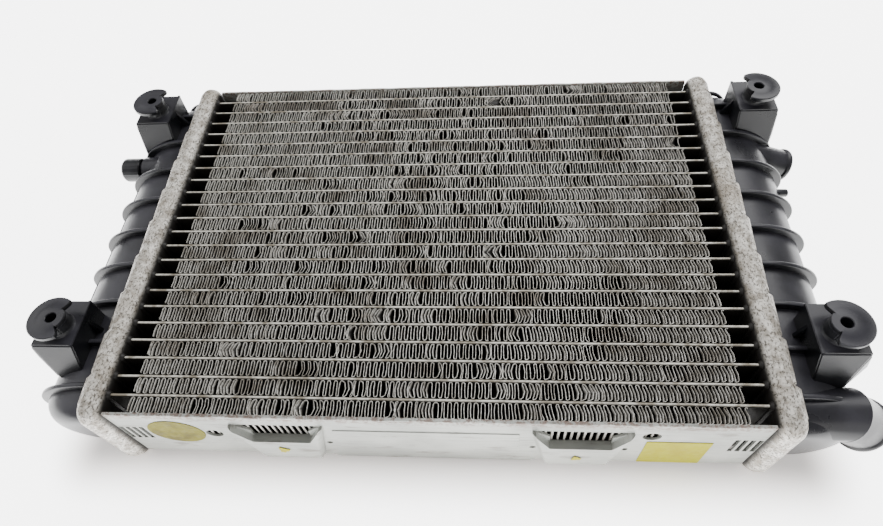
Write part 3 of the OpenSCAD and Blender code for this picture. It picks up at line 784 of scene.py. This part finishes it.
def tank(side, name, node):
    parts = Parts()
    hy, hz = HALF_Y - TANK_IN, HALF_Z - TANK_IN
    # Foot inside the header plate's channel, and the shoulder above it
    for x0, x1, dy, dz, bev in ((4.0, 13.0, 1.2, 1.2, 2.2), (12.0, 15.6, 0, -5.4, 1.2)):
        y1, z1 = hy - dy, hz + dz - 6.6
        corners = [(x, y) for x in (x0, x1) for y in (-y1, y1)]
        parts.hull([out(side, x, y, z) for x, y in corners for z in (-z1, z1)], bev)
    barrel(parts, side)
    for i in range(RIBS):
        rib(parts, side, RIB_Y0 + i * RIB_PITCH, REACH + RIB_H, HALF_B + RIB_H)
    rib(parts, side, HALF_Y - TANK_IN - RIB_T / 2, REACH * 0.5, HALF_B)
    for i in (0, 1):
        bracket(parts, side, i)
    if side > 0:
        right_extras(parts)
    else:
        left_extras(parts)
    parts.piece(name, PLASTIC, sharp=34, replaces=(node,))


tank(-1, "left_tank_moulding", "left_tank")
tank(1, "right_tank_moulding", "right_tank")


# ---------------------------------------------------------------- cap
def cap():
    parts = Parts()
    lo, hi = box("bleed_cap")
    y, z = (lo[1] + hi[1]) / 2, (lo[2] + hi[2]) / 2
    r, length = (hi[1] - lo[1]) / 2, hi[0] - lo[0]
    inner = 5.75
    rings = []
    for t in np.linspace(0, 2 * np.pi, 96, endpoint=False):
        ridge = 0.18 * (0.5 + 0.5 * math.cos(24 * t))
        prof = [(inner, 0), (r - 0.7, 0), (r - 0.1, 0.6), (r - ridge, 1.6)]
        prof += [(r - ridge, length - 2.2), (r - 0.2, length - 1.2), (r - 0.9, length - 0.3)]
        prof += [(r - 1.6, length), (0.4, length - 0.15)]
        prof += [(0.4, length - 2), (inner, length - 2)]
        rings.append([(hi[0] - h, y + q * math.cos(t), z + q * math.sin(t)) for q, h in prof])
    parts.loft(rings, wrap_path=True)
    parts.piece("screw_cap", CAP, body="cap", replaces=("bleed_cap",))


cap()


# ---------------------------------------------------------------- side plates
# Hooks pressed out of a side plate, as heights from the core's front and widths from their middle
HOOK_X, HOOK_HALF, HOOK_RISE, HOOK_LOW = 72.5, 23.1, 3.35, -48.6
SHOULDER_X, SHOULDER_Z = 23.5, -9.5
NARROWS, TALL = 7.0, 39.0  # a hook's side comes in by the first over the second
MOUTH_HALF, MOUTH_Z = 14.5, -23.8
PLATE_OUT = 3.0  # how far a hook stands out from the plate's outer face in the CAD


def hook_edge(z):
    return SHOULDER_X - (SHOULDER_Z - z) * NARROWS / TALL


def hook_trays(name, node, near):
    """Pressed-out hooks under the plate's windows, the long emboss, and the folded front edge."""
    lo, hi = box(node)
    s = -1 if near else 1
    face = (lo[1] + PLATE_OUT) if near else (hi[1] - PLATE_OUT)  # outer face of the flat plate
    mid = (lo[0] + hi[0]) / 2
    parts = Parts()
    for cx in (-HOOK_X, HOOK_X):
        rings = []
        for u in np.linspace(-1, 1, 61):
            x = HOOK_HALF * u
            ax = abs(x)
            top = MOUTH_Z
            if ax >= MOUTH_HALF:
                top = min(-9.6, MOUTH_Z + (ax - MOUTH_HALF) * 2.05)
            low = max(HOOK_LOW, SHOULDER_Z - (SHOULDER_X - ax) * TALL / NARROWS)
            low = min(low, top - 0.1)
            front, rear = [], []
            for z in np.linspace(top, low, 15):
                d = min(z + 48.7, (hook_edge(z) - ax) * 0.98)
                rise = HOOK_RISE * min(1.0, max(0.0, d) / 2.4) ** 0.6
                front.append((mid + cx + x, face + s * (rise + 0.1), Z_FRONT + z))
                rear.append((mid + cx + x, face - s * 0.5, Z_FRONT + z))
            rings.append(front + rear[::-1])
        parts.loft(rings)
    emboss = [(x, y, z) for x in (-46, 44) for y in (-0.6, 0.45) for z in (-38, -14)]
    parts.hull([(mid + x, face + s * y, Z_FRONT + z) for x, y, z in emboss], 0.4, 3)
    # Folded front edge, slightly wavy
    fold = ((0.28, -0.9), (0.34, 0.2), (0.05, 0.55))
    rings = []
    for x in np.linspace(lo[0] + 0.3, hi[0] - 0.3, 120):
        wave = 0.12 * math.sin(x * 0.21) + 0.1 * math.sin(x * 0.53)
        ring = [(x, face + s * (y + wave), hi[2] + z) for y, z in fold]
        ring += [(x, face - s * 1.15, hi[2] + z) for z in (0.5, -0.9)]
        rings.append(ring)
    parts.loft(rings)
    parts.piece(name, PLATE, sharp=38)


hook_trays("near_plate_hooks", "near_side_plate", True)
hook_trays("far_plate_hooks", "far_side_plate", False)


def dab(name, x, z, w, h):
    """Irregular dab of paint on the near side plate, x and z mm from its middle and the front."""
    lo, hi = box("near_side_plate")
    parts = Parts()
    y = lo[1] - 0.95
    points = 28
    rings = []
    for r, dy in ((1.0, 0.1), (0.96, -0.04), (0.6, -0.12), (0.1, -0.14)):
        ring = []
        for i in range(points):
            t = 2 * math.pi * i / points
            q = r * (1 + 0.22 * math.sin(3 * t + x) + 0.14 * math.sin(7 * t))
            px = (lo[0] + hi[0]) / 2 + x + w * q * math.cos(t)
            ring.append((px, y + dy, Z_FRONT + z + h * q * math.sin(t)))
        rings.append(ring)
    parts.loft(rings)
    parts.piece(name, PAINT)


dab("paint_dab_left", -74, -34, 2.6, 3.2)
dab("paint_dab_right", 71.5, -36, 2.2, 2.4)


# ---------------------------------------------------------------- materials of the CAD nodes
KEPT = {
    "left_gasket": RUBBER,
    "right_gasket": RUBBER,
    "cap_washer": RUBBER,
    "near_side_plate": PLATE,
    "far_side_plate": PLATE,
    "round_sticker": STICKER,
    "blank_label": LABEL,
    "bleed_cap": CAP,
    "left_tank": PLASTIC,
    "right_tank": PLASTIC,
    "left_header_plate": HEADER,
    "right_header_plate": HEADER,
}
for name, ob in frame["nodes"].items():
    mat = KEPT.get(name) or (TUBE if name.startswith("tube_") else FIN)
    ob.data.materials.clear()
    ob.data.materials.append(mat)
